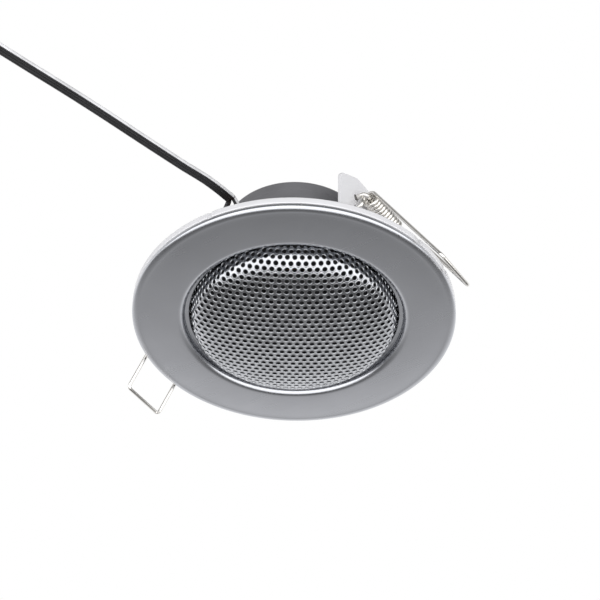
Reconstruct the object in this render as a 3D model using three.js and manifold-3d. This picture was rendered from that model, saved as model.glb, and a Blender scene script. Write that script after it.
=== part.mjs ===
// Recessed mini loudspeaker that a panel cut-out holds by two sprung wire bails.
// Millimetres, +Z up. The grille faces down (-Z). The origin is the centre of the cut-out, on the plane
// where the mounting frame meets the underside of the panel. The bails are on +X and -X, the cord on -Y.
import * as THREE from "three";
import { mergeVertices } from "three/addons/utils/BufferGeometryUtils.js";
import Module from "manifold-3d";

const wasm = await Module();
wasm.setup();

// ---- driving dimensions ----
const GAP = 0.3; // air left between pieces that touch

const rim = { radius: 40, wall: 0.8, drop: 1.9, lip: 1.6, lipHeight: 0.72 }; // trim and mounting frame
const sheet = 0.8; // trim ring's sheet
const face = { outer: -3.55, inner: -4 }; // height of the trim's face at its two edges
const neck = { radius: 27.1, top: -1.1, hole: 26, roll: 1.6, rollHeight: 1.35 };
const frame = { plate: 1, hole: 24.4, step: 29.3, raised: 2 };
const cutoutRadius = 30;

const dome = { radius: 25, height: 5.7, equator: -4, sheet: 0.5, skirt: 25.6, flange: 27.9 };

const screw = { circle: 26.4, radius: 1.05, head: 1.9, headHeight: 1.3, hole: 1.35, count: 4 };

const bracket = { inner: 22.6, thick: 0.8, half: 15.5, shoulder: 23.2, crown: 7.6, top: 27.6, corner: 1.6, foot: 9 };
const rivet = { x: 27, y: 6, shank: 0.8, head: 1.5, headHeight: 0.7 };
const hinge = { x: 26, z: 20.2 }; // axis of each spring coil
const wire = 0.9; // spring wire
const coil = { outer: 2.25, inner: 1.05, half: 6.8 };
const staple = { wire: 1.3, half: 8.2 };
const bail = { x: 45.6, z: -8.85, half: 6.35, bend: 0.9 }; // centre of the bail's cross bar

const basket = { flange: 28, base: 0, sheet: 0.7, shelf: 8.9, seat: 10.3 };
const motor = { pole: 5.9, gapOuter: 7.5, plateTop: 13.8, magnetTop: 21.1, yokeTop: 24 };
const cover = { radius: 18.7, wall: 0.8, bottom: 11.4, top: 27.7, chamfer: 0.7, bead: 24.2 };
const voice = { inner: 6.3, outer: 6.55, wound: 7.15 };

const lug = { x: 1.75, z: 12, width: 1.9, thick: 0.5, tip: -27.4 };
const strip = { face: -24.9, thick: 1.2, half: 5.2, foot: 2.8, bottom: 4, top: 13.3 };

const flex = { width: 2.8, thick: 1.45 }; // two conductors side by side
const panelTop = 12; // upper face of the panel that the cord lies on
const spareCoil = { x: -38.2, y: -105.1, inner: 15.2, outer: 21.5 }; // the coil of spare cord

// ---- materials ----
const finish = (color, roughness, metalness) => ({ color, roughness, metalness });
const FINISHES = {
  satin_chrome: finish(0x8d9094, 0.32, 1),
  grille_steel: finish(0x9a9da2, 0.3, 1),
  frame_paint: finish(0xe4e5e8, 0.45, 0.1),
  spring_steel: finish(0xd8d6cf, 0.25, 1),
  zinc: finish(0xc3c5c8, 0.35, 1),
  basket_steel: finish(0x2b2c2f, 0.5, 0.6),
  cover_grey: finish(0x55565a, 0.6, 0.3),
  ferrite: finish(0x242426, 0.8, 0),
  cone_paper: finish(0x17171a, 0.85, 0),
  rubber: finish(0x121214, 0.7, 0),
  cloth: finish(0xb08a3c, 0.9, 0),
  kapton: finish(0x9a5a24, 0.5, 0),
  copper: finish(0xb5693a, 0.35, 1),
  board: finish(0x6b3a22, 0.7, 0),
  tin: finish(0xcfd0d2, 0.4, 1),
  flex_black: finish(0x1a1a1c, 0.45, 0),
};

// ---- geometry helpers ----
function toSolid(geometry) {
  const bare = geometry.clone();
  bare.deleteAttribute("normal");
  bare.deleteAttribute("uv");
  const merged = mergeVertices(bare, 1e-4);
  return new wasm.Manifold(
    new wasm.Mesh({
      numProp: 3,
      vertProperties: new Float32Array(merged.attributes.position.array),
      triVerts: new Uint32Array(merged.index.array),
    }),
  );
}

function toGeometry(solid) {
  const mesh = solid.getMesh();
  const geometry = new THREE.BufferGeometry();
  geometry.setAttribute("position", new THREE.BufferAttribute(mesh.vertProperties, 3));
  geometry.setIndex(new THREE.BufferAttribute(mesh.triVerts, 1));
  geometry.computeVertexNormals();
  return geometry;
}

const join = (...pieces) => toGeometry(pieces.map(toSolid).reduce((a, b) => a.add(b)));
const cut = (piece, ...tools) => toGeometry(tools.map(toSolid).reduce((a, b) => a.subtract(b), toSolid(piece)));

// A closed outline of [radius, height] points turned about Z. An outline that touches the axis starts and
// ends on it.
function revolve(outline, segments) {
  const area = outline.reduce((sum, [r, z], i) => {
    const [nextR, nextZ] = outline[(i + 1) % outline.length];
    return sum + r * nextZ - nextR * z;
  }, 0);
  const points = outline.map(([r, z]) => new THREE.Vector2(r, z));
  if (area < 0) points.reverse();
  if (outline.every(([r]) => r > 0)) points.push(points[0].clone());
  return new THREE.LatheGeometry(points, segments).rotateX(Math.PI / 2);
}

const tube = (inner, outer, bottom, top, segments) =>
  revolve([[inner, bottom], [outer, bottom], [outer, top], [inner, top]], segments);

const disc = (radius, bottom, top, segments) =>
  revolve([[0, bottom], [radius, bottom], [radius, top], [0, top]], segments);

const box = (x0, x1, y0, y1, z0, z1) =>
  new THREE.BoxGeometry(x1 - x0, y1 - y0, z1 - z0).translate((x0 + x1) / 2, (y0 + y1) / 2, (z0 + z1) / 2);

// Points along an arc in the outline plane, from angle a to angle b in degrees.
function arc(centreR, centreZ, radiusR, radiusZ, a, b, steps) {
  return Array.from({ length: steps + 1 }, (_, i) => {
    const angle = THREE.MathUtils.degToRad(a + ((b - a) * i) / steps);
    return [centreR + radiusR * Math.cos(angle), centreZ + radiusZ * Math.sin(angle)];
  });
}

// A wire or cord of elliptical section along a smooth curve through the points.
function sweep(points, width, thick, steps, sides = 8) {
  const section = new THREE.Shape();
  section.absellipse(0, 0, thick / 2, width / 2, 0, 2 * Math.PI);
  const corners = section.getSpacedPoints(sides).slice(0, sides);
  const path = new THREE.CatmullRomCurve3(points.map((p) => new THREE.Vector3(...p)), false, "centripetal");
  return new THREE.ExtrudeGeometry(new THREE.Shape(corners), { steps, extrudePath: path, bevelEnabled: false });
}

const speaker = new THREE.Group();

function add(parent, name, finishName, geometry) {
  const mesh = new THREE.Mesh(geometry, new THREE.MeshStandardMaterial(FINISHES[finishName]));
  mesh.name = name;
  parent.add(mesh);
  return mesh;
}

// Cylinders on the screw circle, for the screws' holes.
function screwHoles(bottom, top) {
  return screwPlaces().map(([x, y]) => disc(screw.hole, bottom, top, 12).translate(x, y, 0));
}

function screwPlaces() {
  return Array.from({ length: screw.count }, (_, i) => {
    const angle = ((i + 0.5) * 2 * Math.PI) / screw.count;
    return [screw.circle * Math.cos(angle), screw.circle * Math.sin(angle)];
  });
}

// ---- front ----
function trimRing() {
  const inner = rim.radius - rim.wall;
  const back = neck.radius + sheet;
  const rollRadius = neck.radius + neck.roll;
  const rollHeight = face.inner + neck.rollHeight;
  const outline = [
    [inner, -2.2],
    [rim.radius, -2.2],
    ...arc(rim.radius - rim.lip, face.outer + rim.lipHeight, rim.lip, rim.lipHeight, 0, -90, 4),
    ...arc(rollRadius, rollHeight, neck.roll, neck.rollHeight, -90, -180, 4),
    [neck.radius, neck.top - sheet],
    [neck.hole, neck.top - sheet],
    [neck.hole, neck.top],
    [back, neck.top],
    [back, rollHeight],
    [rollRadius, face.inner + sheet],
    [inner, face.outer + sheet],
  ];
  add(speaker, "trim_ring", "satin_chrome", revolve(outline, 60));
}

function grille() {
  const { radius, height, equator, skirt, flange } = dome;
  const flangeTop = neck.top + GAP + dome.sheet;
  const outer = arc(0, equator, radius, -height, 90, 0, 6);
  const inner = arc(0, equator, radius - dome.sheet, -(height - dome.sheet), 0, 90, 4);
  const outline = [
    ...outer,
    [skirt, flangeTop - dome.sheet],
    [flange, flangeTop - dome.sheet],
    [flange, flangeTop],
    [skirt - dome.sheet, flangeTop],
    ...inner,
  ];
  outline[0][0] = 0;
  outline[outline.length - 1][0] = 0;
  add(speaker, "grille", "grille_steel", cut(revolve(outline, 48), ...screwHoles(neck.top - 0.1, 1)));
}

// ---- back ring that bears on the panel ----
function mountingFrame() {
  const { plate, hole, step, raised } = frame;
  const outline = [
    [hole, raised - plate],
    [step - plate, raised - plate],
    [step - plate, -plate],
    [rim.radius - rim.wall, -plate],
    [rim.radius - rim.wall, -rim.drop],
    [rim.radius, -rim.drop],
    [rim.radius, 0],
    [step, 0],
    [step, raised],
    [hole, raised],
  ];
  const notch = (x, y, halfX, halfY) => box(x - halfX, x + halfX, y - halfY, y + halfY, -rim.drop - 1, 1);
  const notches = [-1, 1].flatMap((side) =>
    [-1, 1].map((end) => notch(side * (rim.radius + 0.05), end * bail.half, 0.9, 0.9)),
  );
  const cordNick = notch(2.3, -rim.radius, 0.7, 0.6);
  const rivetHoles = [-1, 1].flatMap((side) =>
    [-1, 1].map((end) => disc(rivet.shank + GAP, 0, 3, 12).translate(side * rivet.x, end * rivet.y, 0)),
  );
  const ring = revolve(outline, 60);
  add(speaker, "mounting_frame", "frame_paint", cut(ring, ...notches, cordNick, ...rivetHoles, ...screwHoles(0, 3)));
}

function frameScrews() {
  screwPlaces().forEach(([x, y], i) => {
    const head = frame.raised + GAP;
    const outline = [
      [0, neck.top + GAP],
      [screw.radius, neck.top + GAP],
      [screw.radius, head],
      [screw.head, head],
      [screw.head, head + screw.headHeight / 2],
      [screw.head / 2, head + screw.headHeight],
      [0, head + screw.headHeight],
    ];
    add(speaker, `frame_screw_${i + 1}`, "zinc", revolve(outline, 12).translate(x, y, 0));
  });
}

// ---- spring clips, drawn on the +X side and turned half a turn for the other ----
function clipBracket(side, name) {
  const { inner, thick, half, shoulder, crown, top, corner, foot } = bracket;
  const cornerTop = shoulder + (corner * (top - shoulder)) / (half - crown);
  const bottom = frame.raised + GAP;
  const plate = new THREE.Shape();
  plate.moveTo(-half, bottom);
  plate.lineTo(half, bottom);
  plate.lineTo(half, shoulder - corner);
  plate.quadraticCurveTo(half, shoulder, half - corner, cornerTop);
  plate.lineTo(crown, top);
  plate.lineTo(-crown, top);
  plate.lineTo(corner - half, cornerTop);
  plate.quadraticCurveTo(-half, shoulder, -half, shoulder - corner);
  const upright = new THREE.ExtrudeGeometry(plate, { depth: thick, bevelEnabled: false, curveSegments: 4 });
  upright.rotateX(Math.PI / 2).rotateZ(Math.PI / 2).translate(inner, 0, 0);
  const base = box(inner, frame.step, -foot, foot, bottom, bottom + thick);
  const along = (x0, x1, radius, y, z) =>
    disc(radius, x0, x1, 12).rotateY(Math.PI / 2).translate(0, y, z);
  const wireHoles = [-1, 1].map((end) =>
    along(inner - 1, inner + 2, staple.wire / 2 + GAP, end * staple.half, hinge.z),
  );
  const rivetHoles = [-1, 1].map((end) =>
    disc(rivet.shank + GAP, bottom - 1, bottom + 2, 12).translate(rivet.x, end * rivet.y, 0),
  );
  add(side, `clip_bracket_${name}`, "frame_paint", cut(join(upright, base), ...wireHoles, ...rivetHoles));
}

function bracketRivets(side, name) {
  const under = frame.raised - frame.plate - 0.3;
  const over = frame.raised + 2 * GAP + bracket.thick;
  [-1, 1].forEach((end, i) => {
    const outline = [
      [0, under],
      [rivet.shank, under],
      [rivet.shank, over],
      [rivet.head, over],
      [rivet.head * 0.6, over + rivet.headHeight],
      [0, over + rivet.headHeight],
    ];
    const solid = revolve(outline, 12).translate(rivet.x, end * rivet.y, 0);
    add(side, `bracket_rivet_${name}_${i + 1}`, "zinc", solid);
  });
}

// The staple's back runs through the coil and its two arms go through the bracket.
function springStaple(side, name) {
  const armEnd = bracket.inner - 0.6;
  const bend = 0.9;
  const arm = (end) => [
    [armEnd, end * staple.half, hinge.z],
    [hinge.x - bend, end * staple.half, hinge.z],
    [hinge.x - bend * 0.3, end * (staple.half - bend * 0.3), hinge.z],
    [hinge.x, end * (staple.half - bend), hinge.z],
  ];
  const points = [...arm(-1), [hinge.x, 0, hinge.z], ...arm(1).reverse()];
  add(side, `spring_staple_${name}`, "spring_steel", sweep(points, staple.wire, staple.wire, 20));
}

// The coil is a plain sleeve here, with the bail's two legs leaving its outer side.
function springClip(side, name) {
  const sleeve = tube(coil.inner, coil.outer, -coil.half, coil.half, 20);
  sleeve.rotateX(Math.PI / 2).translate(hinge.x, 0, hinge.z);
  const coilMean = coil.outer - wire / 2;
  const reach = Math.hypot(bail.x - hinge.x, bail.z - hinge.z);
  const legAngle = Math.atan2(bail.z - hinge.z, bail.x - hinge.x) - Math.asin(coilMean / reach);
  const legLength = Math.sqrt(reach ** 2 - coilMean ** 2);
  const startX = hinge.x - coilMean * Math.sin(legAngle);
  const startZ = hinge.z + coilMean * Math.cos(legAngle);
  const onLeg = (distance, y) => [
    startX + distance * Math.cos(legAngle),
    y,
    startZ + distance * Math.sin(legAngle),
  ];
  const leg = (end) => [
    onLeg(0, end * bail.half),
    onLeg(legLength / 2, end * bail.half),
    onLeg(legLength - bail.bend, end * bail.half),
    onLeg(legLength - bail.bend * 0.3, end * (bail.half - bail.bend * 0.3)),
    onLeg(legLength, end * (bail.half - bail.bend)),
  ];
  const loop = sweep([...leg(-1), ...leg(1).reverse()], wire, wire, 32);
  add(side, `spring_clip_${name}`, "spring_steel", join(sleeve, loop));
}

function clip(name, turn) {
  const side = new THREE.Group();
  side.rotation.z = turn;
  clipBracket(side, name);
  bracketRivets(side, name);
  springStaple(side, name);
  springClip(side, name);
  speaker.add(side);
}

// ---- driver ----
function driverBasket() {
  const { flange, base, sheet: thick, shelf, seat } = basket;
  const outline = [
    [21.2, base],
    [flange, base],
    [flange, base + thick],
    [23.4, base + thick],
    [21.6, 2.3],
    [17.8, shelf + thick],
    [15.5, shelf + thick],
    [15.5, seat + thick],
    [8.6, seat + thick],
    [8.6, seat],
    [14.8, seat],
    [14.8, shelf],
    [17.3, shelf],
    [21, 2],
  ];
  const windows = Array.from({ length: 8 }, (_, i) =>
    box(16.4, 22.5, -3.6, 3.6, 3.2, 7.8).rotateZ((i * Math.PI) / 4),
  );
  const shell = cut(revolve(outline, 40), ...windows, ...screwHoles(-1, 2));
  add(speaker, "basket", "basket_steel", shell);
  add(speaker, "cone_gasket", "ferrite", tube(22.5, 24.8, -1.25, -0.65, 36));
}

function motorParts() {
  const plateBottom = basket.seat + basket.sheet + GAP;
  add(speaker, "top_plate", "zinc", tube(motor.gapOuter, 15.5, plateBottom, motor.plateTop, 32));
  add(speaker, "magnet", "ferrite", tube(9.5, 16.3, motor.plateTop + GAP, motor.magnetTop, 32));
  const yoke = [
    [0, plateBottom],
    [motor.pole, plateBottom],
    [motor.pole, motor.magnetTop + GAP],
    [15.5, motor.magnetTop + GAP],
    [15.5, motor.yokeTop],
    [0, motor.yokeTop],
  ];
  add(speaker, "yoke", "zinc", revolve(yoke, 32));
}

function rearCover() {
  const { radius, wall, bottom, top, chamfer, bead } = cover;
  const step = 0.3;
  const outline = [
    [0, top - wall],
    [radius - step - chamfer, top - wall],
    [radius - step - wall, top - wall - chamfer],
    [radius - step - wall, bead],
    [radius - wall, bead - step],
    [radius - wall, bottom],
    [radius, bottom],
    [radius, bead - step],
    [radius - step, bead],
    [radius - step, top - chamfer],
    [radius - step - chamfer, top],
    [0, top],
  ];
  add(speaker, "rear_cover", "cover_grey", revolve(outline, 44));
}

// The moving system: it slides along Z by about a millimetre.
function coneAssembly() {
  const roll = arc(20.6, -0.35, 1.5, 1.3, 180, 360, 4);
  const rollInside = arc(20.6, -0.35, 1.15, 0.95, 360, 180, 4);
  const surround = [[18.2, -0.35], ...roll, [24.8, -0.35], [24.8, -GAP / 2], [21.75, -GAP / 2]];
  surround.push(...rollInside, [19.4, -0.05], [18.2, -0.05]);
  add(speaker, "surround", "rubber", revolve(surround, 36));
  const cone = [[18.9, 0.2], [19.3, 0.5], [7.4, 7.6], [6.85, 7.6], [6.85, 7.2]];
  add(speaker, "cone", "cone_paper", revolve(cone, 36));
  const capOuter = arc(0, 6.2, 7.4, -2.4, 90, 0, 3);
  const capInner = arc(0, 6.2, 7, -2, 0, 90, 3);
  const cap = [...capOuter, ...capInner];
  cap[0][0] = 0;
  cap[cap.length - 1][0] = 0;
  add(speaker, "dust_cap", "cone_paper", revolve(cap, 24));
  add(speaker, "voice_coil_former", "kapton", tube(voice.inner, voice.outer, 6.5, 14.6, 24));
  add(speaker, "voice_coil_winding", "copper", tube(voice.outer + 0.1, voice.wound, 11.6, 14.3, 24));
  const waves = 3;
  const spiderInner = voice.outer + GAP;
  const spiderOuter = 14.5;
  const ripple = (level) =>
    Array.from({ length: 2 * waves + 1 }, (_, i) => [
      spiderInner + ((spiderOuter - spiderInner) * i) / (2 * waves),
      level + (i % 2) * 0.5,
    ]);
  const top = ripple(9.3).reverse();
  add(speaker, "spider", "cloth", revolve([...ripple(9), ...top], 32));
}

// ---- terminals and leads ----
function terminals() {
  const back = strip.face + strip.thick;
  const upright = box(-strip.half, strip.half, strip.face, back, strip.bottom, strip.top);
  const foot = (end) =>
    box(...[end * strip.foot, end * strip.half].sort((a, b) => a - b), back - 0.1, -20.6, 4, 5.2);
  const slots = [-1, 1].map((end) =>
    box(
      end * lug.x - lug.width / 2 - GAP,
      end * lug.x + lug.width / 2 + GAP,
      strip.face - 1,
      back + 1,
      lug.z - lug.thick / 2 - GAP,
      lug.z + lug.thick / 2 + GAP,
    ),
  );
  add(speaker, "terminal_strip", "board", cut(join(upright, foot(-1), foot(1)), ...slots));
  [-1, 1].forEach((end) => {
    const name = end < 0 ? "left" : "right";
    const x0 = end * lug.x - lug.width / 2;
    const x1 = end * lug.x + lug.width / 2;
    const blade = box(x0, x1, lug.tip, back + 1.4, lug.z - lug.thick / 2, lug.z + lug.thick / 2);
    add(speaker, `terminal_lug_${name}`, "tin", blade);
    const lead = [
      [end * lug.x, back + 1.8, lug.z],
      [end * 1.9, -21.2, 10.8],
      [end * 2, -20.7, 8.2],
      [end * 2, -19.6, 6],
      [end * 2.1, -17.6, 4.8],
      [end * 2.2, -14.6, 4.1],
    ];
    add(speaker, `tinsel_lead_${name}`, "copper", sweep(lead, 0.7, 0.7, 12, 6));
  });
}

// ---- cord: split to the two lugs, along the panel's upper face, then a small coil ----
function cord() {
  const lie = panelTop + flex.thick / 2 + 0.1;
  const route = [
    [1.2, -30.4, 13],
    [0.9, -34, lie],
    [0, -39, lie],
    [-1.7, -45, lie],
    [-3.5, -52, lie],
    [-5.5, -60, lie],
    [-7.7, -69, lie],
    [-10.3, -79, lie],
    [-13.1, -89, lie],
    [-15.7, -98.4, lie],
  ];
  add(speaker, "twin_cord", "flex_black", sweep(route, flex.width, flex.thick, 26));
  const ring = tube(spareCoil.inner, spareCoil.outer, lie - flex.thick / 2, lie + flex.thick / 2, 36);
  add(speaker, "cord_coil", "flex_black", ring.translate(spareCoil.x, spareCoil.y, 0));
  [-1, 1].forEach((end) => {
    const strand = [
      [end * lug.x, lug.tip - GAP, lug.z],
      [end * lug.x + 0.1, -28.3, lug.z + 0.1],
      [end * 0.8 + 1.1, -29.6, 12.6],
      [end * 0.8 + 1.2, -30.1, 12.7],
    ];
    const name = end < 0 ? "left" : "right";
    add(speaker, `cord_strand_${name}`, "flex_black", sweep(strand, 1.3, 1.3, 6));
  });
}

trimRing();
grille();
mountingFrame();
frameScrews();
clip("right", 0);
clip("left", Math.PI);
driverBasket();
motorParts();
rearCover();
coneAssembly();
terminals();
cord();

export default speaker;
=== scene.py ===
"""Looks of a recessed mini loudspeaker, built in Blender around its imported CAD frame.

Metres, in the frame's own axes: +Z points into the panel, the grille faces -Z, the sprung bails are on
+X and -X, and the cord leaves towards -Y. Outlines are drawn in millimetres and scaled once.
"""

import math

import bmesh
import bpy
import numpy as np
from mathutils import Matrix, Vector


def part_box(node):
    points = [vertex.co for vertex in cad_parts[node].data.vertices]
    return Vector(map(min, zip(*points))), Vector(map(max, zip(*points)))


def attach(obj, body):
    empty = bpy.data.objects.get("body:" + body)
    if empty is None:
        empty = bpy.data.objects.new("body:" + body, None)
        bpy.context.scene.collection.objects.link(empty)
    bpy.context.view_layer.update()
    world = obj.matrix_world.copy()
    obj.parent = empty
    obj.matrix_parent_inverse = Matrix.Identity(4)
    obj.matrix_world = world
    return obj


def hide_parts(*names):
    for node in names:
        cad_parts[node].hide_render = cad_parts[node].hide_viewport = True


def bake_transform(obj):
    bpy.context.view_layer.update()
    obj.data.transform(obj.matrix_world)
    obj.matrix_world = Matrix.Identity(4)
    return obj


MM = 0.001
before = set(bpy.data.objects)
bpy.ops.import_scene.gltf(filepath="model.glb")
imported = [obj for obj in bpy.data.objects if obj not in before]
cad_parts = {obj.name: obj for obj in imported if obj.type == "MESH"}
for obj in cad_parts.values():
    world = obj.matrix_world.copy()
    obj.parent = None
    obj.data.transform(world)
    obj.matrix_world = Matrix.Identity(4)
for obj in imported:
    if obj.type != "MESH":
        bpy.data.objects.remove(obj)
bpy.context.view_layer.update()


def high(node):
    """The highest corner of a CAD node, in millimetres."""
    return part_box(node)[1] / MM


def low(node):
    """The lowest corner of a CAD node, in millimetres."""
    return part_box(node)[0] / MM


# ---- driving dimensions, in millimetres, read from the frame or named as in the CAD source ----
RIM = high("trim_ring").x
RIM_DROP = 1.9  # how far the mounting frame's wall reaches below the panel
SHEET = 0.8
FACE_OUTER = -3.55
FACE_INNER = low("trim_ring").z
NECK = 27.1
NECK_TOP = high("trim_ring").z
LIP = 1.6
LIP_HEIGHT = 0.72
ROLL_RADIUS = 1.6
ROLL_HEIGHT = 1.35
NECK_HOLE = 26.0
DOME = 25.0
DOME_HEIGHT = 5.7
DOME_EQUATOR = low("grille").z + DOME_HEIGHT
GRILLE_SHEET = 0.5
GAP = 0.3  # air between pieces that touch
COIL_AXIS = Vector((26.0, 0.0, 20.2))  # the right spring's axis; the bail turns about it
WIRE = 0.9
BAIL_BAR = Vector((high("spring_clip_right").x - WIRE / 2, 0.0, low("spring_clip_right").z + WIRE / 2))
BAIL_HALF = 6.35
PANEL_TOP = 12.0
FLEX_WIDTH = 2.8
FLEX_THICK = 1.45
SIDES = ((-1, "left"), (1, "right"))


# ==== camera ====
VIEW_AZIMUTH = 33.8
VIEW_ELEVATION = -42.0
VIEW_ROLL = 1.1
VIEW_DISTANCE = 500
VIEW_LENS = 121.35
AIM_HEIGHT = -3.4  # a height on the speaker's axis
AIM_RIGHT = 1.42  # the view's middle lies this far to the right of that point, as the camera sees it
AIM_UP = 5.2  # and this far above it


def make_camera():
    """The camera stands below and in front of the speaker and looks up at its grille."""
    azimuth, elevation, roll = (math.radians(a) for a in (VIEW_AZIMUTH, VIEW_ELEVATION, VIEW_ROLL))
    back = Vector((
        math.sin(azimuth) * math.cos(elevation),
        -math.cos(azimuth) * math.cos(elevation),
        math.sin(elevation),
    ))
    turn = (-back).to_track_quat("-Z", "Y")
    right = turn @ Vector((1, 0, 0))
    up = turn @ Vector((0, 1, 0))
    target = Vector((0, 0, AIM_HEIGHT)) * MM + right * AIM_RIGHT * MM + up * AIM_UP * MM
    data = bpy.data.cameras.new("camera")
    data.lens = VIEW_LENS
    data.sensor_width = 36
    data.clip_start, data.clip_end = 0.01, 20
    camera = bpy.data.objects.new("camera", data)
    camera.location = target + back * (VIEW_DISTANCE * MM)
    camera.rotation_mode = "QUATERNION"
    camera.rotation_quaternion = turn @ Matrix.Rotation(roll, 3, "Z").to_quaternion()
    bpy.context.scene.collection.objects.link(camera)
    bpy.context.scene.camera = camera


# ==== mesh helpers ====
def add_mesh(name, points, faces, smooth=True):
    """An object from points in millimetres."""
    mesh = bpy.data.meshes.new(name)
    mesh.from_pydata([tuple(c * MM for c in p) for p in points], [], faces)
    mesh.validate()
    mesh.update()
    for polygon in mesh.polygons:
        polygon.use_smooth = smooth
    piece = bpy.data.objects.new(name, mesh)
    bpy.context.scene.collection.objects.link(piece)
    return piece


def face_outwards(piece):
    """Turns every face of a closed mesh outwards."""
    mesh = bmesh.new()
    mesh.from_mesh(piece.data)
    bmesh.ops.recalc_face_normals(mesh, faces=mesh.faces)
    mesh.to_mesh(piece.data)
    mesh.free()
    return piece


def arc(centre_r, centre_z, radius_r, radius_z, start, end, steps):
    """Points along an arc of an outline, from start to end in degrees."""
    angles = [math.radians(start + (end - start) * i / steps) for i in range(steps + 1)]
    return [(centre_r + radius_r * math.cos(a), centre_z + radius_z * math.sin(a)) for a in angles]


def rounded(outline, closed=True, steps=4):
    """The outline with each corner (r, z, fillet) turned into an arc-like curve of that size."""
    made = []
    count = len(outline)
    for i, corner in enumerate(outline):
        point = Vector(corner[:2])
        fillet = corner[2] if len(corner) > 2 else 0
        at_end = not closed and i in (0, count - 1)
        if not fillet or at_end:
            made.append(tuple(point))
            continue
        before = Vector(outline[i - 1][:2]) - point
        after = Vector(outline[(i + 1) % count][:2]) - point
        size = min(fillet, before.length * 0.45, after.length * 0.45)
        start = point + before.normalized() * size
        end = point + after.normalized() * size
        for k in range(steps + 1):
            t = k / steps
            made.append(tuple(start * (1 - t) ** 2 + point * 2 * t * (1 - t) + end * t * t))
    return made


def revolve(name, outline, segments=144):
    """Turns an outline of (radius, height) points about Z. It is closed, or starts and ends on the axis."""
    open_ended = outline[0][0] < 1e-6
    points, rings = [], []
    for r, z in outline:
        if r < 1e-6:
            rings.append([len(points)] * segments)
            points.append((0, 0, z))
            continue
        rings.append(list(range(len(points), len(points) + segments)))
        for k in range(segments):
            angle = 2 * math.pi * k / segments
            points.append((r * math.cos(angle), r * math.sin(angle), z))
    faces = []
    pairs = zip(rings, rings[1:] if open_ended else rings[1:] + rings[:1])
    for a, b in pairs:
        for k in range(segments):
            n = (k + 1) % segments
            corners = [a[k], a[n], b[n], b[k]]
            face = [c for j, c in enumerate(corners) if c != corners[j - 1]]
            if len(face) > 2:
                faces.append(face)
    return face_outwards(add_mesh(name, points, faces))


def skin(rows, count):
    """Faces over rows of count points each, with the first and last row closed."""
    faces = []
    for i in range(rows - 1):
        for k in range(count):
            n = (k + 1) % count
            faces.append([i * count + k, i * count + n, (i + 1) * count + n, (i + 1) * count + k])
    faces.append(list(range(count)))
    faces.append([(rows - 1) * count + k for k in range(count)])
    return faces


def sweep(name, path, section):
    """A solid along a path in millimetres. The section's first axis stays as level as it can."""
    path = [Vector(p) for p in path]
    points = []
    side = None
    for i, point in enumerate(path):
        ahead = (path[min(i + 1, len(path) - 1)] - path[max(i - 1, 0)]).normalized()
        if side is None:
            side = Vector((0, 0, 1)).cross(ahead)
            if side.length < 0.1:
                side = Vector((0, 1, 0)).cross(ahead)
        side = (side - ahead * side.dot(ahead)).normalized()
        over = ahead.cross(side)
        points += [point + side * u + over * v for u, v in section]
    return face_outwards(add_mesh(name, points, skin(len(path), len(section))))


def circle_section(radius, sides=12):
    """A round wire's section, for sweep."""
    angles = [2 * math.pi * k / sides for k in range(sides)]
    return [(radius * math.cos(a), radius * math.sin(a)) for a in angles]


def smooth_path(points, per_span=8):
    """A centripetal Catmull-Rom curve through the points."""
    p = [Vector(q) for q in points]
    p = [p[0] * 2 - p[1], *p, p[-1] * 2 - p[-2]]
    made = []
    for i in range(1, len(p) - 2):
        quad = p[i - 1 : i + 3]
        t = [0.0]
        for a, b in zip(quad, quad[1:]):
            t.append(t[-1] + max((b - a).length, 1e-9) ** 0.5)
        for k in range(per_span + (i == len(p) - 3)):
            u = t[1] + (t[2] - t[1]) * k / per_span
            level = quad
            for depth in (1, 2, 3):
                shares = [(u - t[j]) / (t[j + depth] - t[j]) for j in range(len(level) - 1)]
                level = [a * (1 - w) + b * w for w, a, b in zip(shares, level, level[1:])]
            made.append(level[0])
    return made


def block(x0, x1, y0, y1, z0, z1):
    """A plain box in millimetres, used to cut other pieces."""
    corners = [(x, y, z) for x in (x0, x1) for y in (y0, y1) for z in (z0, z1)]
    faces = [(0, 1, 3, 2), (4, 6, 7, 5), (0, 4, 5, 1), (2, 3, 7, 6), (0, 2, 6, 4), (1, 5, 7, 3)]
    return add_mesh("cutter", corners, faces, smooth=False)


def rod(radius, start, end, sides=24):
    """A plain round bar in millimetres, used to cut other pieces."""
    return sweep("cutter", [start, end], circle_section(radius, sides))


def carve(piece, cutters):
    """Cuts the cutters out of the piece and removes them."""
    for cutter in cutters:
        step = piece.modifiers.new("cut", "BOOLEAN")
        step.operation = "DIFFERENCE"
        step.solver = "EXACT"
        step.object = cutter
    bpy.context.view_layer.update()
    graph = bpy.context.evaluated_depsgraph_get()
    mesh = bpy.data.meshes.new_from_object(piece.evaluated_get(graph))
    piece.modifiers.clear()
    piece.data = mesh
    for cutter in cutters:
        bpy.data.objects.remove(cutter)
    return piece


def soften(piece, width=0.12, segments=2):
    """Rounds the sharp edges of a cut or folded sheet."""
    step = piece.modifiers.new("edges", "BEVEL")
    step.width = width * MM
    step.segments = segments
    step.limit_method = "ANGLE"
    step.angle_limit = math.radians(35)
    return piece


def finish_piece(piece, body, slot, nodes=()):
    """Material, normals, body, and the CAD nodes that the piece stands for. A bent piece has no one body."""
    if MATERIALS[slot].name not in piece.data.materials:
        piece.data.materials.append(MATERIALS[slot])
    normals = piece.modifiers.new("normals", "WEIGHTED_NORMAL")
    normals.keep_sharp = True
    if body:
        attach(piece, body)
    if nodes:
        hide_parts(*nodes)


def join_pieces(name, pieces):
    """Several solids as one piece."""
    mesh = bmesh.new()
    for piece in pieces:
        mesh.from_mesh(piece.data)
    made = bpy.data.meshes.new(name)
    mesh.to_mesh(made)
    mesh.free()
    for piece in pieces:
        bpy.data.objects.remove(piece)
    joined = bpy.data.objects.new(name, made)
    bpy.context.scene.collection.objects.link(joined)
    return joined


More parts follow.
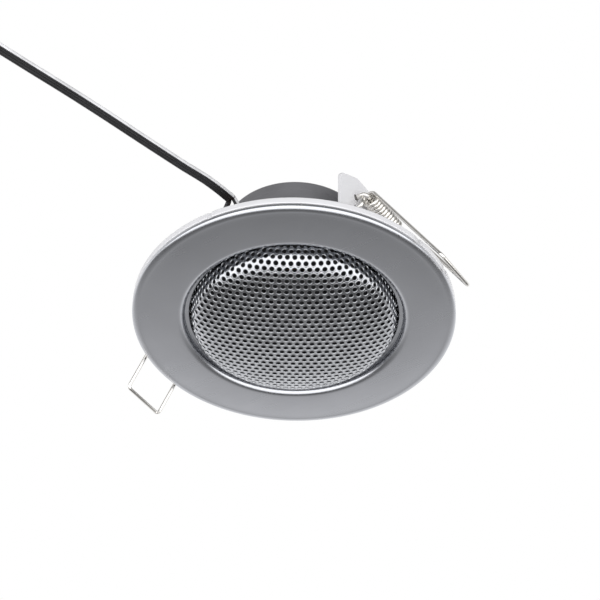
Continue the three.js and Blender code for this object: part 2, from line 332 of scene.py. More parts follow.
# ==== materials ====
class Nodes:
    """A short way to wire a material's nodes."""

    def __init__(self, name):
        self.material = bpy.data.materials.new(name)
        self.material.use_nodes = True
        self.tree = self.material.node_tree
        self.shader = self.tree.nodes["Principled BSDF"]
        self.place = self.add("ShaderNodeTexCoord").outputs["Object"]

    def add(self, kind, **inputs):
        node = self.tree.nodes.new(kind)
        for key, value in inputs.items():
            self.set(node, key.replace("_", " "), value)
        return node

    def set(self, node, key, value):
        """A socket is linked, and anything else is set as the socket's own value."""
        if isinstance(value, bpy.types.NodeSocket):
            self.tree.links.new(value, node.inputs[key])
        else:
            node.inputs[key].default_value = value

    def fixed(self, **values):
        """Values that are the same all over the surface."""
        for key, value in values.items():
            self.shader.inputs[key.replace("_", " ")].default_value = value

    def stretched(self, scale):
        mapping = self.add("ShaderNodeMapping", Vector=self.place)
        mapping.inputs["Scale"].default_value = scale
        return mapping.outputs["Vector"]

    def noise(self, scale, detail=4.0, rough=0.5, place=None):
        node = self.add("ShaderNodeTexNoise", Scale=scale, Detail=detail, Roughness=rough)
        self.set(node, "Vector", place or self.place)
        return node.outputs["Fac"]

    def ramp(self, value, colour, spread):
        """A colour that runs from a darker to a lighter version of itself as the value grows."""
        node = self.add("ShaderNodeValToRGB", Fac=value)
        for element, at, change in zip(node.color_ramp.elements, (0.3, 0.7), (-spread, spread)):
            element.position = at
            element.color = (*(min(1, c * (1 + change)) for c in colour), 1)
        return node.outputs["Color"]

    def span(self, value, lowest, highest):
        """A 0 to 1 value spread between two others."""
        node = self.add("ShaderNodeMapRange", Value=value)
        node.inputs["To Min"].default_value = lowest
        node.inputs["To Max"].default_value = highest
        return node.outputs["Result"]

    def bump(self, height, distance_mm, strength=1.0, below=None):
        node = self.add("ShaderNodeBump", Height=height, Strength=strength)
        node.inputs["Distance"].default_value = distance_mm * MM
        if below:
            self.set(node, "Normal", below)
        return node.outputs["Normal"]

    def finish(self, colour, roughness, normal=None):
        self.set(self.shader, "Base Color", colour)
        self.set(self.shader, "Roughness", roughness)
        if normal:
            self.set(self.shader, "Normal", normal)
        return self.material


def satin_chrome():
    n = Nodes("satin_chrome")
    n.fixed(Metallic=1.0)
    cloud = n.noise(60, 5)
    fine = n.noise(2500, 3, place=n.stretched((1, 0.12, 1)))
    scratch = n.noise(900, 2, place=n.stretched((0.05, 1, 1)))
    below = n.bump(fine, 0.002, 0.2)
    return n.finish(
        n.ramp(cloud, (0.6, 0.61, 0.64), 0.04),
        n.span(scratch, 0.22, 0.3),
        n.bump(scratch, 0.003, 0.15, below),
    )


def grille_steel():
    n = Nodes("grille_steel")
    n.fixed(Metallic=1.0)
    cloud = n.noise(220, 4)
    fine = n.noise(3000, 3)
    return n.finish(
        n.ramp(cloud, (0.51, 0.52, 0.54), 0.12), n.span(cloud, 0.14, 0.26), n.bump(fine, 0.01, 0.4)
    )


def frame_paint():
    n = Nodes("frame_paint")
    n.fixed(Metallic=0.0, IOR=1.5, Coat_Weight=0.25, Coat_Roughness=0.2)
    peel = n.noise(900, 3)
    cloud = n.noise(90, 4)
    return n.finish(
        n.ramp(cloud, (0.72, 0.72, 0.735), 0.03), n.span(cloud, 0.3, 0.42), n.bump(peel, 0.004, 0.2)
    )


def wire_steel():
    n = Nodes("wire_steel")
    n.fixed(Metallic=1.0)
    cloud = n.noise(400, 4)
    drawn = n.noise(5000, 2, place=n.stretched((1, 1, 0.1)))
    return n.finish(
        n.ramp(cloud, (0.82, 0.8, 0.76), 0.08), n.span(cloud, 0.14, 0.3), n.bump(drawn, 0.003, 0.3)
    )


def zinc():
    n = Nodes("zinc")
    n.fixed(Metallic=1.0)
    spangle = n.add("ShaderNodeTexVoronoi", Scale=900.0, Vector=n.place).outputs["Distance"]
    return n.finish(
        n.ramp(spangle, (0.7, 0.72, 0.75), 0.08),
        n.span(spangle, 0.25, 0.42),
        n.bump(n.noise(1500), 0.006, 0.3),
    )


def painted_black():
    n = Nodes("basket_black")
    n.fixed(Metallic=0.0)
    peel = n.noise(1400, 3)
    return n.finish(
        n.ramp(n.noise(120), (0.03, 0.03, 0.033), 0.3),
        n.span(peel, 0.35, 0.5),
        n.bump(peel, 0.012, 0.4),
    )


def cover_grey():
    n = Nodes("cover_grey")
    n.fixed(Metallic=0.0)
    grain = n.noise(2600, 4, 0.6)
    cloud = n.noise(110, 4)
    return n.finish(
        n.ramp(cloud, (0.14, 0.14, 0.148), 0.12), n.span(grain, 0.48, 0.66), n.bump(grain, 0.02, 0.5)
    )


def ferrite():
    n = Nodes("ferrite")
    grain = n.noise(1800, 6, 0.7)
    return n.finish(
        n.ramp(grain, (0.035, 0.035, 0.038), 0.4), n.span(grain, 0.6, 0.85), n.bump(grain, 0.03, 0.6)
    )


def cone_paper():
    n = Nodes("cone_paper")
    fibre = n.noise(1200, 5, 0.7, place=n.stretched((1, 1, 0.3)))
    return n.finish(
        n.ramp(fibre, (0.02, 0.02, 0.022), 0.4), n.span(fibre, 0.6, 0.85), n.bump(fibre, 0.05, 0.7)
    )


def rubber():
    n = Nodes("rubber")
    grain = n.noise(1600, 3)
    return n.finish(
        n.ramp(grain, (0.016, 0.016, 0.018), 0.3), n.span(grain, 0.5, 0.65), n.bump(grain, 0.02, 0.4)
    )


def spider_cloth():
    n = Nodes("spider_cloth")
    weave = n.add("ShaderNodeTexChecker", Scale=1800.0, Vector=n.place).outputs["Fac"]
    return n.finish(
        n.ramp(n.noise(700), (0.5, 0.34, 0.12), 0.2),
        n.span(weave, 0.7, 0.9),
        n.bump(weave, 0.06, 0.6),
    )


def kapton():
    n = Nodes("kapton")
    n.fixed(Coat_Weight=0.4)
    cloud = n.noise(500)
    return n.finish(
        n.ramp(cloud, (0.4, 0.16, 0.04), 0.15), n.span(cloud, 0.25, 0.4), n.bump(cloud, 0.01, 0.3)
    )


def copper():
    n = Nodes("copper")
    n.fixed(Metallic=1.0)
    turns = n.add("ShaderNodeTexWave", Scale=1200.0, Vector=n.place)
    turns.bands_direction = "Z"
    turns = turns.outputs["Fac"]
    return n.finish(
        n.ramp(turns, (0.75, 0.33, 0.16), 0.25),
        n.span(n.noise(900), 0.25, 0.4),
        n.bump(turns, 0.05, 0.7),
    )


def phenolic():
    n = Nodes("phenolic")
    mottle = n.noise(500, 6, 0.7)
    return n.finish(
        n.ramp(mottle, (0.16, 0.06, 0.028), 0.35), n.span(mottle, 0.5, 0.7), n.bump(mottle, 0.02, 0.4)
    )


def tin():
    n = Nodes("tin")
    n.fixed(Metallic=1.0)
    lump = n.noise(700, 4)
    return n.finish(n.ramp(lump, (0.78, 0.78, 0.8), 0.1), n.span(lump, 0.22, 0.42), n.bump(lump, 0.04, 0.5))


def vinyl(name, colour):
    """The cord's jacket."""
    n = Nodes(name)
    n.fixed(Specular_IOR_Level=0.5)
    grain = n.noise(1500, 3)
    cloud = n.noise(200, 3)
    return n.finish(n.ramp(cloud, colour, 0.2), n.span(cloud, 0.3, 0.48), n.bump(grain, 0.015, 0.4))


MATERIALS = {
    "satin_chrome": satin_chrome(),
    "grille_steel": grille_steel(),
    "frame_paint": frame_paint(),
    "spring_steel": wire_steel(),
    "zinc": zinc(),
    "basket_steel": painted_black(),
    "cover_grey": cover_grey(),
    "ferrite": ferrite(),
    "cone_paper": cone_paper(),
    "rubber": rubber(),
    "cloth": spider_cloth(),
    "kapton": kapton(),
    "copper": copper(),
    "board": phenolic(),
    "tin": tin(),
    "flex_black": vinyl("flex_black", (0.022, 0.022, 0.024)),
    # The pale colour is a tracer stripe that also stands in for the highlight on the conductor's lit side.
    "flex_stripe_and_highlight": vinyl("flex_stripe_and_highlight", (0.62, 0.62, 0.63)),
}


# ==== cord ====
CORD_LIE = PANEL_TOP + FLEX_THICK / 2 + 0.1  # height of the cord's centreline on the panel
# The cord's centreline in metres, the same points as in the CAD source.
CORD_ROUTE = [
    (0.0012, -0.0304, 0.013),
    (0.0009, -0.034, 0.012825),
    (0.0, -0.039, 0.012825),
    (-0.0017, -0.045, 0.012825),
    (-0.0035, -0.052, 0.012825),
    (-0.0055, -0.06, 0.012825),
    (-0.0077, -0.069, 0.012825),
    (-0.0103, -0.079, 0.012825),
    (-0.0131, -0.089, 0.012825),
    (-0.0157, -0.0984, 0.012825),
]
COIL_CENTRE = (-38.2, -105.1)
COIL_OUTER_TURN = 19.9
COIL_INNER_TURN = 16.9
COIL_TURNS = 2.0
COIL_START = math.radians(-15.4)
CLOSING_TURNS = 1.5  # the coil closes in over these turns, and the rest of it is round
# Tracer stripe and painted highlight at once: the pale corners cover the right conductor's upper, outer side,
# where light falls, and are sized to it.
HIGHLIT_STRIPE_FROM, HIGHLIT_STRIPE_TO = 4, 10  # corners of the flex's section between which it is white
STRAND_RADIUS = FLEX_THICK / 2 * 0.9
TAIL_RADIUS = 0.62
BARE_RADIUS = 0.3
TIE_RADIUS = 0.35


def cord_line():
    """The flex's centreline: the route, then a flat coil that runs clockwise from its outer turn inwards."""
    coil = []
    steps = int(72 * COIL_TURNS)
    for i in range(steps + 1):
        share = i / steps
        closed_in = min(1, share * COIL_TURNS / CLOSING_TURNS)
        radius = COIL_OUTER_TURN + (COIL_INNER_TURN - COIL_OUTER_TURN) * closed_in
        angle = COIL_START - 2 * math.pi * COIL_TURNS * share
        coil.append(Vector((
            COIL_CENTRE[0] + radius * math.cos(angle),
            COIL_CENTRE[1] + radius * math.sin(angle),
            CORD_LIE,
        )))
    lead_in = smooth_path([*(Vector(p) / MM for p in CORD_ROUTE), coil[0]], 10)
    return lead_in[:-1] + coil


def twin_section(steps=12):
    """Two round conductors side by side with a narrow web, as (across, up) points."""
    radius = FLEX_THICK / 2
    centre = FLEX_WIDTH / 2 - radius
    open_angle = 40
    right = [math.radians(-180 + open_angle + (360 - 2 * open_angle) * k / steps) for k in range(steps + 1)]
    half = [(centre + radius * math.cos(a), radius * math.sin(a)) for a in right]
    return half + [(-x, -y) for x, y in half]


def make_tie():
    """A loop of covered wire that holds the coil's turns together."""
    inner = COIL_INNER_TURN - FLEX_WIDTH / 2 - TIE_RADIUS
    outer = COIL_OUTER_TURN + FLEX_WIDTH / 2 + TIE_RADIUS
    under = CORD_LIE - FLEX_THICK / 2 - TIE_RADIUS
    over = CORD_LIE + FLEX_THICK / 2 + TIE_RADIUS
    loop = rounded([(inner, under, 0.5), (outer, under, 0.5), (outer, over, 0.5), (inner, over, 0.5)])
    angle = math.radians(100)
    path = []
    for r, z in loop:
        path.append((COIL_CENTRE[0] + r * math.cos(angle), COIL_CENTRE[1] + r * math.sin(angle), z))
    tie = sweep("cord_tie", [*path, path[0]], circle_section(TIE_RADIUS))
    finish_piece(tie, "housing", "flex_black")
    return tie


def make_tails(line):
    """The two conductors parted at the far end of the flex, with their stripped tips."""
    end, before = line[-1], line[-6]
    ahead = (end - before).normalized()
    across = Vector((0, 0, 1)).cross(ahead)
    tails, tips = [], []
    for side in (-1, 1):
        start = end + across * side * FLEX_WIDTH / 4
        tip = end + ahead * 5 + across * side * 2.4
        out = (tip - start).normalized()
        bend_path = smooth_path([start - ahead, start + ahead * 1.5, tip], 5)
        tails.append(sweep("tail", bend_path, circle_section(TAIL_RADIUS)))
        tips.append(sweep("bare", [tip - out * 0.6, tip + out * 3], circle_section(BARE_RADIUS)))
    jackets = join_pieces("cord_tails", tails)
    finish_piece(jackets, "housing", "flex_black")
    wires = join_pieces("cord_bare_ends", tips)
    finish_piece(wires, "housing", "tin")
    return jackets, wires


def add_stripe_and_highlight(piece, is_pale):
    """A second material on the faces that is_pale picks."""
    piece.data.materials.append(MATERIALS["flex_black"])
    piece.data.materials.append(MATERIALS["flex_stripe_and_highlight"])
    for polygon in piece.data.polygons:
        if is_pale(polygon):
            polygon.material_index = 1


def make_strand(side, name):
    """One conductor, parted from the flex and soldered to its lug. The right one carries the pale stripe,
    laid on its side towards the lights, so it is a tracer stripe and a painted highlight at once.
    """
    lug_low, lug_high = low("terminal_lug_" + name), high("terminal_lug_" + name)
    lug_x = (lug_low.x + lug_high.x) / 2
    lug_z = (lug_low.z + lug_high.z) / 2
    root = Vector(CORD_ROUTE[0]) / MM + Vector((side * FLEX_WIDTH / 4, 0, 0))
    points = [
        root + Vector((0, -1.2, 0)),
        root + Vector((0, 0.3, 0)),
        Vector((lug_x + side * 0.1, lug_low.y - 0.9, lug_z + 0.15)),
        Vector((lug_x, lug_low.y + 0.2, lug_z + 0.3)),
    ]
    strand = sweep("cord_strand_jacket_" + name, smooth_path(points, 6), circle_section(STRAND_RADIUS))
    if side > 0:
        # The pale faces are those turned towards +X, where light falls: a tracer stripe and a painted
        # highlight at once.
        add_stripe_and_highlight(strand, lambda polygon: polygon.normal.x > 0.35 and polygon.normal.y > -0.9)
    finish_piece(strand, "housing", "flex_black", ["cord_strand_" + name])
    return strand


def make_cord():
    """The flex from the lugs along the panel to its coil, with everything on it."""
    line = cord_line()
    section = twin_section()
    count = len(section)

    def on_stripe_and_highlight(polygon):
        corners = sorted({v % count for v in polygon.vertices})
        return len(corners) == 2 and HIGHLIT_STRIPE_FROM <= corners[0] and corners[1] <= HIGHLIT_STRIPE_TO

    flex = sweep("speaker_cord", line, section)
    add_stripe_and_highlight(flex, on_stripe_and_highlight)
    finish_piece(flex, "housing", "flex_black", ["twin_cord", "cord_coil"])
    jackets, wires = make_tails(line)
    strands = [make_strand(side, name) for side, name in SIDES]
    make_tie()


make_camera()
make_cord()


# ==== light and floor ====
def make_floor():
    """A plain pale floor, one metre below the speaker. Only the camera sees it."""
    half, drop = 6000, 1000
    points = [(x * half, y * half, -drop) for x, y in ((-1, -1), (1, -1), (1, 1), (-1, 1))]
    floor = add_mesh("floor", points, [(0, 1, 2, 3)], smooth=False)
    n = Nodes("floor")
    grain = n.noise(30, 3)
    pale = n.ramp(grain, (0.72, 0.72, 0.73), 0.02)
    floor.data.materials.append(n.finish(pale, n.span(grain, 0.75, 0.85)))
    floor.visible_glossy = False
    floor.visible_diffuse = False


# Brightness of the studio round the speaker, by angle in the plane that the camera looks along: 0 is the
# far horizon, 90 straight down, 180 the horizon behind the camera, -90 overhead.
STUDIO = [
    (-180, 0.95), (-166, 0.95), (-152, 0.2), (-140, 0.09), (-115, 0.14), (-80, 0.4), (-40, 0.5),
    (0, 0.5), (28, 0.4), (36, 0.31), (42, 0.184), (53, 0.14), (66, 0.07), (82, 0.06), (89, 0.4), (95, 0.95),
    (180, 0.95),
]
STUDIO_STRENGTH = 2.0


def make_surround():
    """A white background, and a soft studio that lights the speaker and shows in its chrome."""
    world = bpy.data.worlds.new("surround")
    bpy.context.scene.world = world
    world.use_nodes = True
    tree = world.node_tree
    studio = tree.nodes["Background"]
    studio.inputs["Strength"].default_value = STUDIO_STRENGTH

    def math_node(operation, first, second):
        node = tree.nodes.new("ShaderNodeMath")
        node.operation = operation
        for socket, value in zip(node.inputs, (first, second)):
            if isinstance(value, bpy.types.NodeSocket):
                tree.links.new(value, socket)
            else:
                socket.default_value = value
        return node.outputs[0]

    direction = tree.nodes.new("ShaderNodeTexCoord").outputs["Generated"]
    along = tree.nodes.new("ShaderNodeVectorMath")
    along.operation = "DOT_PRODUCT"
    tree.links.new(direction, along.inputs[0])
    azimuth = math.radians(VIEW_AZIMUTH)
    along.inputs[1].default_value = (-math.sin(azimuth), math.cos(azimuth), 0)
    split = tree.nodes.new("ShaderNodeSeparateXYZ")
    tree.links.new(direction, split.inputs[0])
    down = math_node("MULTIPLY", split.outputs["Z"], -1.0)
    angle = math_node("ARCTAN2", down, along.outputs["Value"])
    share = math_node("MULTIPLY_ADD", angle, 1 / (2 * math.pi))
    share.node.inputs[2].default_value = 0.5
    ramp = tree.nodes.new("ShaderNodeValToRGB")
    tree.links.new(share, ramp.inputs["Fac"])
    elements = ramp.color_ramp.elements
    while len(elements) < len(STUDIO):
        elements.new(0.5)
    for element, (degrees, level) in zip(elements, STUDIO):
        element.position = degrees / 360 + 0.5
        element.color = (level, level, level * 1.01, 1)
    tree.links.new(ramp.outputs["Color"], studio.inputs["Color"])

    white = tree.nodes.new("ShaderNodeBackground")
    white.inputs["Color"].default_value = (1, 1, 1, 1)
    mix = tree.nodes.new("ShaderNodeMixShader")
    tree.links.new(tree.nodes.new("ShaderNodeLightPath").outputs["Is Camera Ray"], mix.inputs["Fac"])
    tree.links.new(studio.outputs[0], mix.inputs[1])
    tree.links.new(white.outputs[0], mix.inputs[2])
    tree.links.new(mix.outputs[0], tree.nodes["World Output"].inputs["Surface"])
    bpy.context.scene.view_settings.view_transform = "Standard"


def make_soft_lights():
    """Two large weak lights that give the white parts a little shape. Only matt surfaces see them."""
    for name, place, watts in (("key", (0.35, -0.35, -0.5), 0.35), ("fill", (-0.45, -0.1, -0.35), 0.15)):
        data = bpy.data.lights.new(name, "AREA")
        data.size = 0.4
        data.energy = watts
        light = bpy.data.objects.new(name, data)
        light.location = place
        light.rotation_euler = (-Vector(place)).to_track_quat("-Z", "Y").to_euler()
        light.visible_camera = False
        light.visible_glossy = False
        bpy.context.scene.collection.objects.link(light)


make_floor()
make_surround()
make_soft_lights()


# ==== front ====
def make_trim():
    """A pressed ring: a rounded lip outside, a slightly dished face, and a rolled neck."""
    crest = arc(RIM - LIP, FACE_OUTER + LIP_HEIGHT, LIP, LIP_HEIGHT, 0, -90, 14)
    dish = 0.05
    face_from, face_to = RIM - LIP - 0.4, NECK + ROLL_RADIUS + 0.4
    face = []
    for i in range(9):
        share = i / 8
        height = FACE_OUTER + (FACE_INNER - FACE_OUTER) * share - dish * 4 * share * (1 - share)
        face.append((face_from + (face_to - face_from) * share, height))
    roll_z = FACE_INNER + ROLL_HEIGHT
    roll = arc(NECK + ROLL_RADIUS, roll_z, ROLL_RADIUS, ROLL_HEIGHT, -90, -180, 14)
    back = NECK + SHEET
    outline = rounded([
        (RIM - SHEET, -2.2, 0.2),
        (RIM, -2.2, 0.2),
        *crest,
        *face,
        *roll,
        (NECK, NECK_TOP - SHEET, 0.3),
        (NECK_HOLE, NECK_TOP - SHEET, 0.2),
        (NECK_HOLE, NECK_TOP, 0.2),
        (back, NECK_TOP, 0.3),
        (back, roll_z, 0.3),
        (NECK + ROLL_RADIUS, FACE_INNER + SHEET, 0.5),
        (RIM - SHEET, FACE_OUTER + SHEET, 0.3),
    ])
    trim = revolve("trim_ring_shell", outline, 192)
    finish_piece(trim, "housing", "satin_chrome", ["trim_ring"])


def dome_profile():
    """The grille's sheet from its crown out to its flange: (distance along the sheet, radius, height)."""
    angles = [math.radians(90 * i / 120) for i in range(121)]
    line = [(DOME * math.sin(a), DOME_EQUATOR - DOME_HEIGHT * math.cos(a)) for a in angles]
    skirt, flange, flange_height = 25.6, 27.8, NECK_TOP + GAP
    for t in (0.25, 0.5, 0.75, 0.95):
        line.append((DOME + (skirt - DOME) * t, DOME_EQUATOR + (flange_height - DOME_EQUATOR) * t))
    line += [(skirt + 0.15, flange_height), (skirt + 0.8, flange_height), (flange, flange_height)]
    run, made = 0.0, []
    for i, (r, z) in enumerate(line):
        if i:
            run += math.hypot(r - line[i - 1][0], z - line[i - 1][1])
        made.append((run, r, z))
    return np.array(made)


HOLE_PITCH = 1.84
HOLE_RADIUS = 0.61
HOLE_SIDES = 12


def make_grille():
    """Hexagonal cells, each with a round hole, drawn over the dome. Neighbours share their corners."""
    profile = dome_profile()
    reach = profile[-1, 0]
    turn = math.radians(VIEW_AZIMUTH)
    corner_radius = HOLE_PITCH / math.sqrt(3)
    points, index, faces = [], {}, []

    def on_sheet(run):
        return tuple(np.interp(run, profile[:, 0], profile[:, column]) for column in (1, 2))

    def drawn(u, v, lift):
        """A flat-sheet point pressed onto the dome, lift millimetres proud of it towards the viewer."""
        run = math.hypot(u, v)
        r, z = on_sheet(run)
        ahead_r, ahead_z = on_sheet(min(run + 0.2, reach))
        back_r, back_z = on_sheet(max(run - 0.2, 0))
        slope = math.hypot(ahead_r - back_r, ahead_z - back_z) or 1
        out_r, out_z = (ahead_z - back_z) / slope, -(ahead_r - back_r) / slope
        angle = math.atan2(v, u) + turn
        r += lift * out_r
        return (r * math.cos(angle), r * math.sin(angle), z + lift * out_z)

    def vertex(u, v, lift):
        key = (round(u * 1000), round(v * 1000), round(lift * 1000))
        if key not in index:
            index[key] = len(points)
            points.append(drawn(u, v, lift))
        return index[key]

    def cell_loop(cu, cv, radius, lift):
        """Twelve points round a cell: a circle, or its hexagon where radius is None."""
        loop = []
        for k in range(HOLE_SIDES):
            angle = math.radians(30 * k + 30)
            size = radius
            if radius is None:
                size = corner_radius if k % 2 == 0 else HOLE_PITCH / 2
            loop.append(vertex(cu + size * math.cos(angle), cv + size * math.sin(angle), lift))
        return loop

    rows = int(reach / (HOLE_PITCH * math.sqrt(3) / 2)) + 1
    for row in range(-rows, rows + 1):
        cv = row * HOLE_PITCH * math.sqrt(3) / 2
        for column in range(-rows, rows + 1):
            cu = (column + (row % 2) / 2) * HOLE_PITCH
            if math.hypot(cu, cv) > reach - corner_radius:
                continue
            loops = [
                cell_loop(cu, cv, None, 0.0),
                cell_loop(cu, cv, HOLE_RADIUS + 0.22, 0.0),
                cell_loop(cu, cv, HOLE_RADIUS + 0.1, 0.05),
                cell_loop(cu, cv, HOLE_RADIUS, -0.02),
                cell_loop(cu, cv, HOLE_RADIUS, -GRILLE_SHEET),
                cell_loop(cu, cv, None, -GRILLE_SHEET),
            ]
            for a, b in zip(loops, loops[1:]):
                for k in range(HOLE_SIDES):
                    n = (k + 1) % HOLE_SIDES
                    faces.append((a[k], a[n], b[n], b[k]))
    grille = add_mesh("grille_mesh", points, faces)
    close_rim(grille)
    finish_piece(grille, "housing", "grille_steel", ["grille"])


def close_rim(piece):
    """Joins the front and back of the sheet along its outer edge, so that it is one closed solid."""
    mesh = bmesh.new()
    mesh.from_mesh(piece.data)
    loose = [edge for edge in mesh.edges if len(edge.link_faces) == 1]
    bmesh.ops.bridge_loops(mesh, edges=loose)
    bmesh.ops.recalc_face_normals(mesh, faces=mesh.faces)
    for face in mesh.faces:
        face.smooth = True
    mesh.to_mesh(piece.data)
    mesh.free()


make_trim()
make_grille()


# ==== back ring and its screws ====
FRAME_PLATE = 1.0
FRAME_HOLE = 24.4
FRAME_STEP = 29.3
FRAME_RAISED = 2.0
NICK_X = 2.3
SCREW_CIRCLE = 26.4
SCREW_HOLE = 1.35


def around(radius, count, first=0.0):
    """Places on a circle, evenly spaced, as (x, y)."""
    angles = [math.radians(first + 360 * i / count) for i in range(count)]
    return [(radius * math.cos(a), radius * math.sin(a)) for a in angles]


def make_mounting_frame():
    """A stepped pressing: a raised inner flange, a flat that meets the panel, and a turned-down wall."""
    outline = rounded([
        (FRAME_HOLE, FRAME_RAISED - FRAME_PLATE, 0.15),
        (FRAME_STEP - FRAME_PLATE, FRAME_RAISED - FRAME_PLATE, 0.3),
        (FRAME_STEP - FRAME_PLATE, -FRAME_PLATE, 0.5),
        (RIM - SHEET, -FRAME_PLATE, 0.3),
        (RIM - SHEET, -RIM_DROP, 0.15),
        (RIM, -RIM_DROP, 0.3),
        (RIM, 0, 0.45),
        (FRAME_STEP, 0, 0.3),
        (FRAME_STEP, FRAME_RAISED, 0.5),
        (FRAME_HOLE, FRAME_RAISED, 0.3),
    ])
    ring = revolve("mounting_frame_pressing", outline, 160)
    cutters = []
    for side in (-1, 1):
        for end in (-1, 1):
            x, y = side * (RIM + 0.05), end * BAIL_HALF
            cutters.append(block(x - 0.9, x + 0.9, y - 0.9, y + 0.9, -RIM_DROP - 1, 1))
            cutters.append(rod(1.1, (side * RIVET_X, end * RIVET_Y, 0), (side * RIVET_X, end * RIVET_Y, 3)))
    cutters.append(rod(0.65, (NICK_X, -RIM, -RIM_DROP - 1), (NICK_X, -RIM, 1), 16))
    cutters += [rod(SCREW_HOLE, (x, y, 0), (x, y, 3)) for x, y in around(SCREW_CIRCLE, 4, 45)]
    carve(ring, cutters)
    soften(ring, 0.1)
    finish_piece(ring, "housing", "frame_paint", ["mounting_frame"])


def shift(piece, x=0.0, y=0.0, z=0.0):
    """Moves a mesh by millimetres."""
    piece.data.transform(Matrix.Translation(Vector((x, y, z)) * MM))
    return piece


def make_frame_screws():
    """Pan-head screws with a cross recess and a short threaded shank."""
    head_z = FRAME_RAISED + GAP
    thread = []
    turns = 5
    for i in range(turns):
        z = NECK_TOP + GAP + (head_z - NECK_TOP - GAP) * i / turns
        step = (head_z - NECK_TOP - GAP) / turns
        thread += [(0.85, z), (1.05, z + step / 2)]
    dome = arc(0, head_z + 0.3, 1.9, 1.0, 0, 90, 8)
    for i, (place_x, place_y) in enumerate(around(SCREW_CIRCLE, 4, 45)):
        outline = [(0, NECK_TOP + GAP), *thread, (1.05, head_z), (1.9, head_z), *dome[:-1], (0, head_z + 1.3)]
        screw = revolve("frame_screw_body", outline, 32)
        slots = [block(-x, x, -y, y, head_z + 0.75, head_z + 2) for x, y in ((1.1, 0.2), (0.2, 1.1))]
        carve(screw, slots)
        soften(screw, 0.06)
        screw.data.transform(Matrix.Rotation(0.4 + i, 4, "Z"))
        shift(screw, place_x, place_y)
        screw.name = f"frame_screw_head_{i + 1}"
        finish_piece(screw, "housing", "zinc", [f"frame_screw_{i + 1}"])


# ==== spring clips ====
RIVET_X, RIVET_Y = 27.0, 6.0
BRACKET_X = low("clip_bracket_right").x
BRACKET_THICK = 0.8
BRACKET_TOP = high("clip_bracket_right").z
BRACKET_HALF = high("clip_bracket_right").y
BRACKET_FOOT = 9.0
BRACKET_SHOULDER = 23.2
BRACKET_CROWN = 7.6
STAPLE_WIRE = 1.3
STAPLE_HALF = 8.2
STAPLE_BRACE_Z = 16.4
COIL_MEAN = 1.8
SPRING_TURNS = 11.5


def extrude(name, outline, place, start, end):
    """A closed outline of (a, b) points extruded: place(a, b, c) gives the point for c from start to end."""
    points = [place(a, b, c) for c in (start, end) for a, b in outline]
    return face_outwards(add_mesh(name, points, skin(2, len(outline))))


def make_bracket(side, name):
    """A folded plate: an upright with sloping shoulders and holes for the staple, on a riveted foot."""
    x, thick, bottom = BRACKET_X, BRACKET_THICK, FRAME_RAISED + GAP
    profile = rounded([
        (x, bottom, 1.0),
        (FRAME_STEP, bottom),
        (FRAME_STEP, bottom + thick),
        (x + thick, bottom + thick, 0.4),
        (x + thick, BRACKET_TOP),
        (x, BRACKET_TOP),
    ])
    plate = extrude("clip_bracket", profile, lambda a, b, c: (a, c, b), -BRACKET_HALF - 1, BRACKET_HALF + 1)
    slope = (BRACKET_HALF - BRACKET_CROWN) / (BRACKET_TOP - BRACKET_SHOULDER)
    cutters = []
    for end in (-1, 1):
        shoulder = rounded([
            (end * (BRACKET_HALF + 3), BRACKET_TOP + 2),
            (end * (BRACKET_CROWN - 2 * slope), BRACKET_TOP + 2),
            (end * BRACKET_HALF, BRACKET_SHOULDER, 1.6),
            (end * BRACKET_HALF, bottom - 2),
            (end * (BRACKET_HALF + 3), bottom - 2),
        ])
        cutters.append(extrude("cutter", shoulder, lambda a, b, c: (c, a, b), x - 1, FRAME_STEP + 1))
        wide = sorted((end * BRACKET_FOOT, end * (BRACKET_HALF + 3)))
        cutters.append(block(x + thick + 0.4, FRAME_STEP + 1, *wide, bottom - 1, bottom + 2))
        for z in (COIL_AXIS.z, STAPLE_BRACE_Z):
            cutters.append(rod(0.95, (x - 1, end * STAPLE_HALF, z), (x + 2, end * STAPLE_HALF, z)))
        cutters.append(rod(1.1, (RIVET_X, end * RIVET_Y, bottom - 1), (RIVET_X, end * RIVET_Y, bottom + 2)))
    carve(plate, cutters)
    soften(plate, 0.12)
    plate.name = "clip_bracket_plate_" + name
    turn_half(plate, side)
    finish_piece(plate, "housing", "frame_paint", ["clip_bracket_" + name])


def turn_half(piece, side):
    """Pieces of a clip are drawn on +X. The left clip is the same, turned half a turn about Z."""
    if side < 0:
        piece.data.transform(Matrix.Rotation(math.pi, 4, "Z"))
    return piece


def make_bracket_rivets(side, name):
    """Two rivets through the bracket's foot and the mounting frame."""
    under = FRAME_RAISED - FRAME_PLATE - 0.3
    over = FRAME_RAISED + 2 * GAP + BRACKET_THICK
    for i, end in enumerate((-1, 1)):
        foot = [(0, under + 0.12), (0.35, under), (0.7, under), (0.8, under + 0.1)]
        head = [(1.45, over), *arc(0, over + 0.1, 1.5, 0.6, 0, 90, 6)[:-1], (0, over + 0.7)]
        rivet = revolve(f"bracket_rivet_head_{name}_{i + 1}", [*foot, (0.8, over), *head], 28)
        shift(rivet, RIVET_X, end * RIVET_Y)
        turn_half(rivet, side)
        finish_piece(rivet, "housing", "zinc", [f"bracket_rivet_{name}_{i + 1}"])


def bend(before, corner, after, radius, steps=6):
    """A rounded corner of a wire: points from one straight to the next."""
    corner, before, after = Vector(corner), Vector(before), Vector(after)
    start = corner + (before - corner).normalized() * radius
    end = corner + (after - corner).normalized() * radius
    shares = [i / steps for i in range(steps + 1)]
    return [start * (1 - t) ** 2 + corner * 2 * t * (1 - t) + end * t * t for t in shares]


